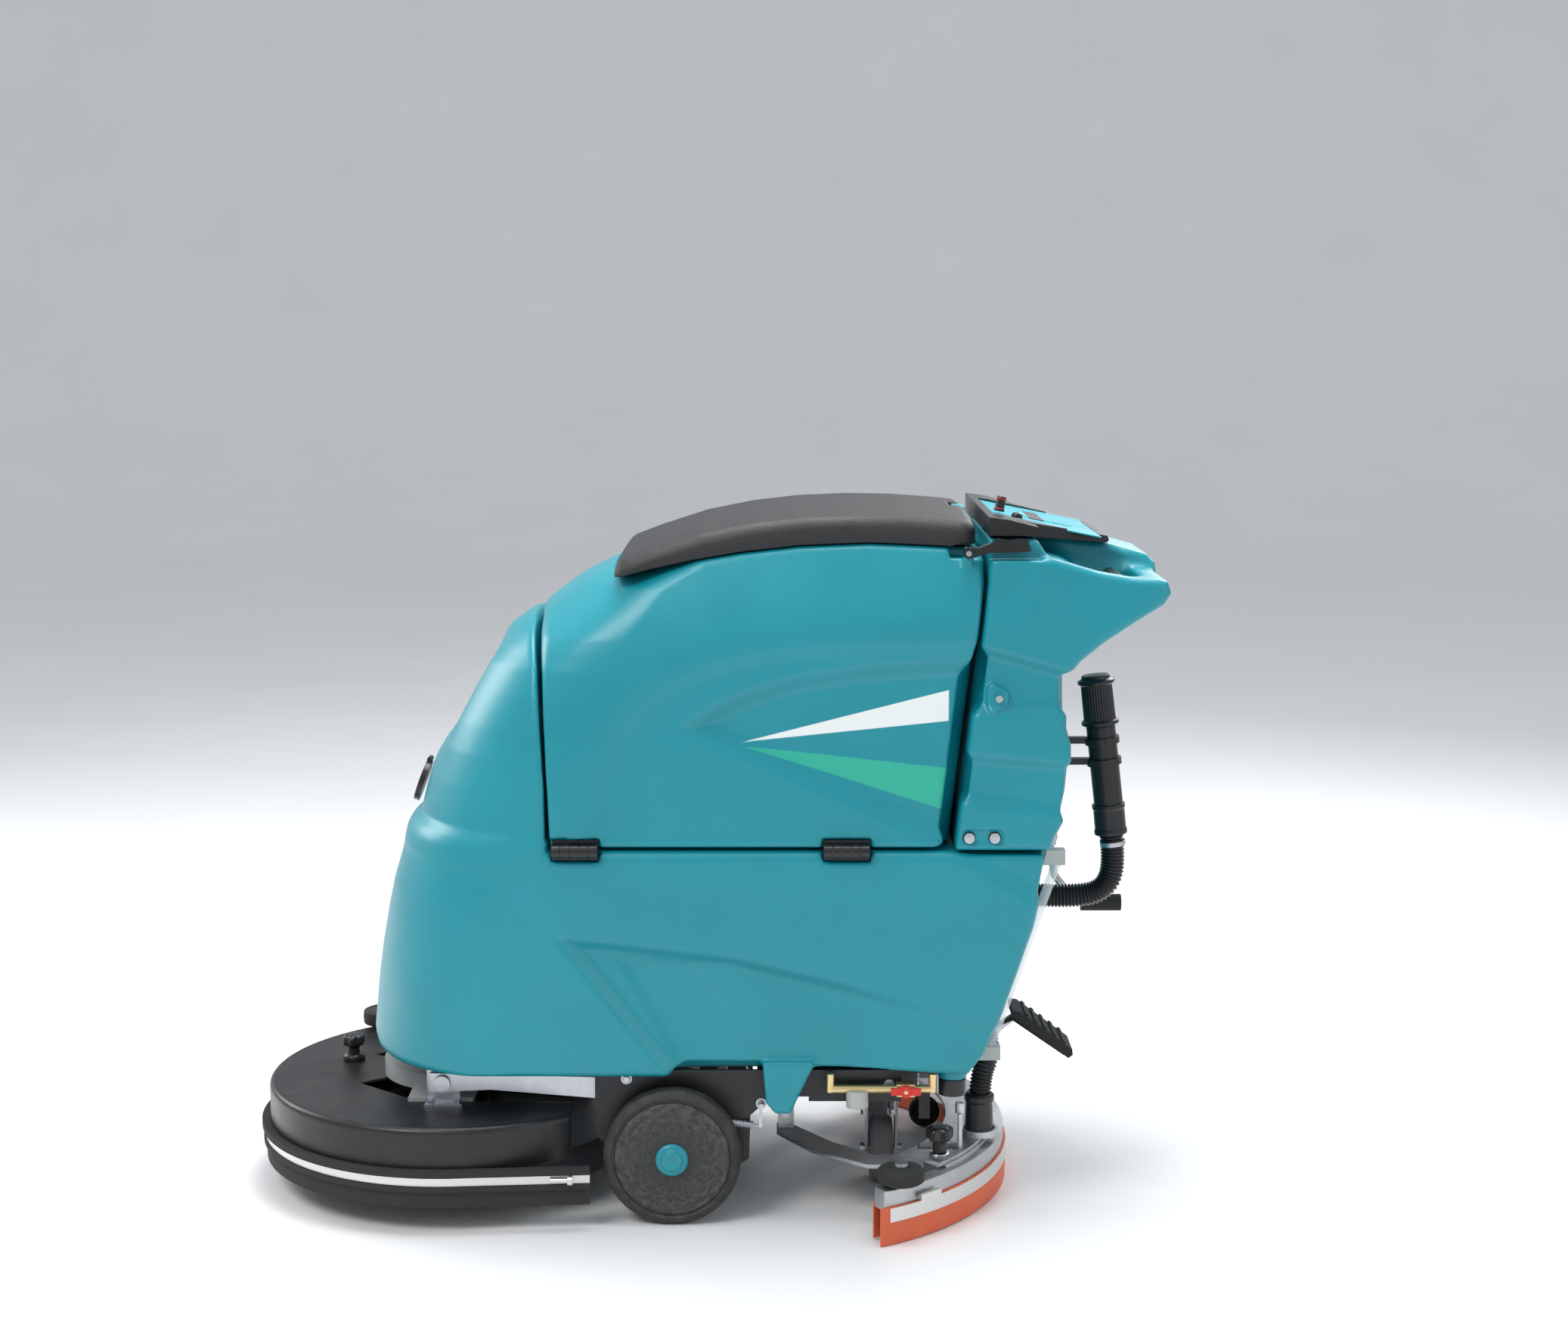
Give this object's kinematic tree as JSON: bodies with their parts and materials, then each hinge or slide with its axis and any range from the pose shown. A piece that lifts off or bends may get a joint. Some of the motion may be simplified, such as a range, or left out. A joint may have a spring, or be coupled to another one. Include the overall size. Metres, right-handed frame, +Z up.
{
  "type": "floor scrubber machine",
  "caption": "Walk-behind battery floor scrubber: round brush deck in front, teal tanks, curved squeegee behind, control panel and rear grips.",
  "frame": {"origin": "on the floor under the middle of the machine's box", "axes": "+Z up, -X towards the brush deck at the front, +X towards the operator, Y across, the machine's left side at -Y"},
  "size_m": [1.344, 0.705, 1.0465],
  "materials": {
    "teal_plastic": "satin rotomoulded with a fine orange peel",
    "charcoal_plastic": "fine textured matt",
    "black_plastic": "satin moulded",
    "black_paint": "satin powder coat",
    "black_rubber": "matt rubber",
    "wheel_rubber": "solid rubber tyre",
    "grey_rubber": "grey non-marking rubber",
    "orange_rubber": "orange-red squeegee rubber",
    "zinc_steel": "zinc plated",
    "stainless": "brushed stainless",
    "cast_aluminium": "as-cast",
    "grey_paint": "grey enamel",
    "brass": "machined",
    "red_plastic": "gloss",
    "clear_plastic": "clear plastic, slightly milky",
    "bristle": "nylon bristles",
    "battery_case": "satin"
  },
  "bodies": {
    "chassis": {"chassis_frame": "black_paint", "frame_hardware": "zinc_steel", "drive_axle": "zinc_steel", "drive_motor": "grey_paint", "lower_tank": "teal_plastic", "batteries": "battery_case", "tank_hinge_lower": "black_plastic", "control_housing": "teal_plastic", "vacuum_motor": "grey_paint", "panel_bezel": "black_plastic", "panel_plate": "teal_plastic", "housing_screws": "zinc_steel", "plastic_fittings": "black_plastic", "drain_hose": "black_plastic", "level_tube": "clear_plastic", "water_fittings": "clear_plastic", "lever_brackets": "zinc_steel", "valve_body": "brass"},
    "recovery_tank": {"recovery_tank": "teal_plastic", "tank_hinge_upper": "black_plastic", "hinge_pins": "zinc_steel", "float_valve": "black_plastic", "lid_gasket": "black_rubber"},
    "tank_lid": {"tank_lid": "charcoal_plastic"},
    "speed_knob": {"speed_knob": "red_plastic"},
    "panel_button": {"panel_button": "black_plastic"},
    "drive_lever": {"drive_lever": "black_plastic"},
    "tank_latch": {"tank_latch": "black_plastic"},
    "drain_cap": {"drain_cap": "black_plastic"},
    "valve_handle": {"valve_handle": "red_plastic"},
    "filler_cap": {"filler_cap": "black_plastic"},
    "lift_lever": {"lift_lever": "zinc_steel"},
    "deck_pedal": {"deck_pedal": "black_rubber"},
    "lift_arms": {"lift_frame": "zinc_steel"},
    "deck": {"deck_plate": "black_paint", "deck_skirt": "black_rubber", "skirt_band": "stainless", "deck_brackets": "zinc_steel", "brush_motor": "grey_paint", "deck_knob": "black_plastic"},
    "brush": {"pad_driver": "black_plastic", "brush_bristles": "bristle"},
    "deck_roller": {"deck_roller": "black_rubber"},
    "squeegee": {"squeegee_carrier": "zinc_steel", "squeegee_body": "cast_aluminium", "squeegee_blades": "orange_rubber", "blade_straps": "stainless", "squeegee_hardware": "zinc_steel", "squeegee_knobs": "black_plastic", "suction_hose": "black_plastic"},
    "wheel_left": {"wheel_left": "wheel_rubber"},
    "caster_left": {"caster_fork_left": "zinc_steel"},
    "caster_wheel_left": {"caster_wheel_left": "grey_rubber"},
    "squeegee_roller_left": {"squeegee_roller_left": "black_rubber"},
    "support_wheel_left": {"support_wheel_left": "black_rubber"},
    "wheel_right": {"wheel_right": "wheel_rubber"},
    "caster_right": {"caster_fork_right": "zinc_steel"},
    "caster_wheel_right": {"caster_wheel_right": "grey_rubber"},
    "squeegee_roller_right": {"squeegee_roller_right": "black_rubber"},
    "support_wheel_right": {"support_wheel_right": "black_rubber"}
  },
  "joints": [
    {"name": "tank_tilt", "type": "hinge", "parent": "chassis", "child": "recovery_tank", "pos_m": [0, -0.262, 0.5515], "axis": [1, 0, 0], "range_deg": [0, 80]},
    {"name": "lid_open", "type": "hinge", "parent": "recovery_tank", "child": "tank_lid", "pos_m": [0.388, 0, 1.016], "axis": [0, 1, 0], "range_deg": [0, 80]},
    {"name": "drive_lever_pull", "type": "hinge", "parent": "chassis", "child": "drive_lever", "pos_m": [0.604, 0, 0.932], "axis": [0, 1, 0], "range_deg": [-18, 0], "stiffness_Nm_per_rad": 0.6},
    {"name": "latch_lift", "type": "hinge", "parent": "recovery_tank", "child": "tank_latch", "pos_m": [0.387, -0.249, 0.975], "axis": [0, -1, 0], "range_deg": [0, 60]},
    {"name": "speed_turn", "type": "hinge", "parent": "chassis", "child": "speed_knob", "pos_m": [0.44204, -0.08, 1.01743], "axis": [0.1961, 0, 0.9806], "range_deg": [-135, 135]},
    {"name": "button_press", "type": "slide", "parent": "chassis", "child": "panel_button", "axis": [-0.1961, 0, -0.9806], "range_m": [0, 0.002], "stiffness_N_per_m": 400},
    {"name": "drain_cap_turn", "type": "hinge", "parent": "chassis", "child": "drain_cap", "pos_m": [0.6038, -0.03, 0.6963], "axis": [-0.117, 0, 0.9931], "range_deg": [0, 90]},
    {"name": "valve_turn", "type": "hinge", "parent": "chassis", "child": "valve_handle", "pos_m": [0.305, -0.2454, 0.195], "axis": [0, 1, 0], "range_deg": [0, 90]},
    {"name": "filler_open", "type": "hinge", "parent": "chassis", "child": "filler_cap", "pos_m": [-0.407, 0, 0.638], "axis": [0, 1, 0], "range_deg": [0, 75]},
    {"name": "squeegee_lift", "type": "hinge", "parent": "chassis", "child": "squeegee", "pos_m": [0.132, 0, 0.112], "axis": [0, -1, 0], "range_deg": [0, 9], "deforming": ["suction_hose"]},
    {"name": "lift_lever_raise", "type": "hinge", "parent": "chassis", "child": "lift_lever", "pos_m": [0.54, 0.062, 0.506], "axis": [0, -1, 0], "range_deg": [0, 63]},
    {"name": "deck_arm_lower", "type": "hinge", "parent": "chassis", "child": "lift_arms", "pos_m": [-0.088, 0, 0.165], "axis": [0, -1, 0], "range_deg": [0, 6.6]},
    {"name": "deck_level", "type": "hinge", "parent": "lift_arms", "child": "deck", "pos_m": [-0.372, 0, 0.19], "axis": [0, 1, 0], "range_deg": [0, 6.6]},
    {"name": "pedal_rise", "type": "hinge", "parent": "chassis", "child": "deck_pedal", "pos_m": [0.388, 0.022, 0.196], "axis": [0, -1, 0], "range_deg": [0, 13.2]},
    {"name": "brush_spin", "type": "hinge", "parent": "deck", "child": "brush", "pos_m": [-0.367, 0, 0.078], "axis": [0, 0, 1], "continuous": true},
    {"name": "deck_roller_spin", "type": "hinge", "parent": "deck", "child": "deck_roller", "pos_m": [-0.523, 0.23, 0.17], "axis": [0, 0, 1], "continuous": true},
    {"name": "wheel_left_spin", "type": "hinge", "parent": "chassis", "child": "wheel_left", "pos_m": [-0.0325, -0.268, 0.1], "axis": [0, 1, 0], "continuous": true},
    {"name": "caster_left_swivel", "type": "hinge", "parent": "chassis", "child": "caster_left", "pos_m": [0.276, -0.102, 0.166], "axis": [0, 0, 1], "continuous": true},
    {"name": "caster_left_spin", "type": "hinge", "parent": "caster_left", "child": "caster_wheel_left", "pos_m": [0.276, -0.07, 0.05], "axis": [1, 0, 0], "continuous": true},
    {"name": "squeegee_roller_left_spin", "type": "hinge", "parent": "squeegee", "child": "squeegee_roller_left", "pos_m": [0.29558, -0.31431, 0.094], "axis": [0, 0, 1], "continuous": true},
    {"name": "support_wheel_left_spin", "type": "hinge", "parent": "squeegee", "child": "support_wheel_left", "pos_m": [0.356, -0.18, 0.025], "axis": [0, 1, 0], "continuous": true},
    {"name": "wheel_right_spin", "type": "hinge", "parent": "chassis", "child": "wheel_right", "pos_m": [-0.0325, 0.268, 0.1], "axis": [0, 1, 0], "continuous": true},
    {"name": "caster_right_swivel", "type": "hinge", "parent": "chassis", "child": "caster_right", "pos_m": [0.276, 0.102, 0.166], "axis": [0, 0, 1], "continuous": true},
    {"name": "caster_right_spin", "type": "hinge", "parent": "caster_right", "child": "caster_wheel_right", "pos_m": [0.276, 0.134, 0.05], "axis": [1, 0, 0], "continuous": true},
    {"name": "squeegee_roller_right_spin", "type": "hinge", "parent": "squeegee", "child": "squeegee_roller_right", "pos_m": [0.29558, 0.31431, 0.094], "axis": [0, 0, 1], "continuous": true},
    {"name": "support_wheel_right_spin", "type": "hinge", "parent": "squeegee", "child": "support_wheel_right", "pos_m": [0.356, 0.18, 0.025], "axis": [0, 1, 0], "continuous": true}
  ],
  "couplings": [
    {"joint": "lift_lever_raise", "follows": "squeegee_lift", "ratio": 7},
    {"joint": "deck_level", "follows": "deck_arm_lower", "ratio": 1},
    {"joint": "pedal_rise", "follows": "deck_arm_lower", "ratio": 2}
  ]
}
